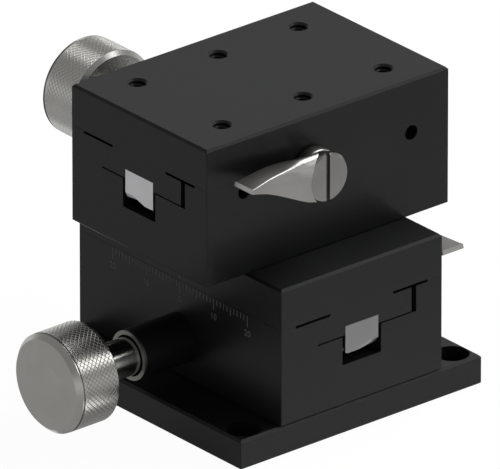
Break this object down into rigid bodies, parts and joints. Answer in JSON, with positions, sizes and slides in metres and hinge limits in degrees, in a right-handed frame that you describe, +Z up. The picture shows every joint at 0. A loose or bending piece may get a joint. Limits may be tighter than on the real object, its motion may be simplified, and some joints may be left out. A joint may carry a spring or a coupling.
{
  "type": "linear translation stage",
  "caption": "Crossed linear translation stage: stacked dovetail slides moved by rack and pinion, with knurled knobs, clamp levers and a flanged base plate.",
  "frame": {"origin": "centre of the plate's underside, on the pattern of its four flange holes", "axes": "+Z up out of the upper table; X along the lower slide's travel; Y along the upper slide's travel; lower knob at -Y, upper knob at -X"},
  "size_m": [0.084, 0.083, 0.063],
  "materials": {
    "black_anodised": "black anodised, fine matt",
    "nickel": "nickel-plated, satin",
    "bright_steel": "turned and polished",
    "rack_steel": "milled",
    "screw_steel": "black oxide",
    "brass": "turned"
  },
  "bodies": {
    "fixed_base": {"base_plate": "black_anodised", "base_plate_screws": "screw_steel", "lower_base": "black_anodised", "lower_gib": "black_anodised", "lower_gib_screws": "screw_steel", "lower_stop_pin": "screw_steel", "lower_clamp_pad": "brass", "lower_bearing_tube": "black_anodised", "lower_tube_rim": "bright_steel", "lower_tube_screw": "screw_steel", "lower_end_bush": "brass"},
    "lower_carriage": {"lower_table": "black_anodised", "lower_rack": "rack_steel", "lower_rack_screws": "screw_steel", "stack_screws": "screw_steel", "upper_base": "black_anodised", "upper_gib": "black_anodised", "upper_gib_screws": "screw_steel", "upper_stop_pin": "screw_steel", "upper_clamp_pad": "brass", "upper_bearing_tube": "black_anodised", "upper_tube_rim": "bright_steel", "upper_tube_screw": "screw_steel", "upper_end_bush": "brass"},
    "upper_carriage": {"upper_table": "black_anodised", "upper_rack": "rack_steel", "upper_rack_screws": "screw_steel"},
    "lower_knob_shaft": {"lower_pinion_shaft": "bright_steel", "lower_shaft_sleeve": "bright_steel", "lower_knob": "nickel", "lower_knob_screw": "screw_steel"},
    "upper_knob_shaft": {"upper_pinion_shaft": "bright_steel", "upper_shaft_sleeve": "bright_steel", "upper_knob": "nickel", "upper_knob_screw": "screw_steel"},
    "lower_clamp": {"lower_clamp_screw": "nickel", "lower_clamp_lever": "nickel"},
    "upper_clamp": {"upper_clamp_screw": "nickel", "upper_clamp_lever": "nickel"}
  },
  "joints": [
    {"name": "lower_slide", "type": "slide", "parent": "fixed_base", "child": "lower_carriage", "axis": [1, 0, 0], "range_m": [-0.02, 0.02]},
    {"name": "upper_slide", "type": "slide", "parent": "lower_carriage", "child": "upper_carriage", "axis": [0, 1, 0], "range_m": [-0.02, 0.02]},
    {"name": "lower_knob_turn", "type": "hinge", "parent": "fixed_base", "child": "lower_knob_shaft", "pos_m": [0, -0.03, 0.014], "axis": [0, 1, 0], "range_deg": [-384, 384]},
    {"name": "upper_knob_turn", "type": "hinge", "parent": "lower_carriage", "child": "upper_knob_shaft", "pos_m": [-0.03, 0, 0.0425], "axis": [-1, 0, 0], "range_deg": [-384, 384]},
    {"name": "lower_clamp_turn", "type": "hinge", "parent": "fixed_base", "child": "lower_clamp", "pos_m": [0.0047, 0.022, 0.02345], "axis": [0, 1, 0], "range_deg": [-10, 40]},
    {"name": "upper_clamp_turn", "type": "hinge", "parent": "lower_carriage", "child": "upper_clamp", "pos_m": [0.022, -0.0047, 0.05195], "axis": [1, 0, 0], "range_deg": [-10, 40]}
  ],
  "couplings": [
    {"joint": "lower_knob_turn", "follows": "lower_slide", "rad_per_m": 333.33},
    {"joint": "upper_knob_turn", "follows": "upper_slide", "rad_per_m": 333.33}
  ]
}
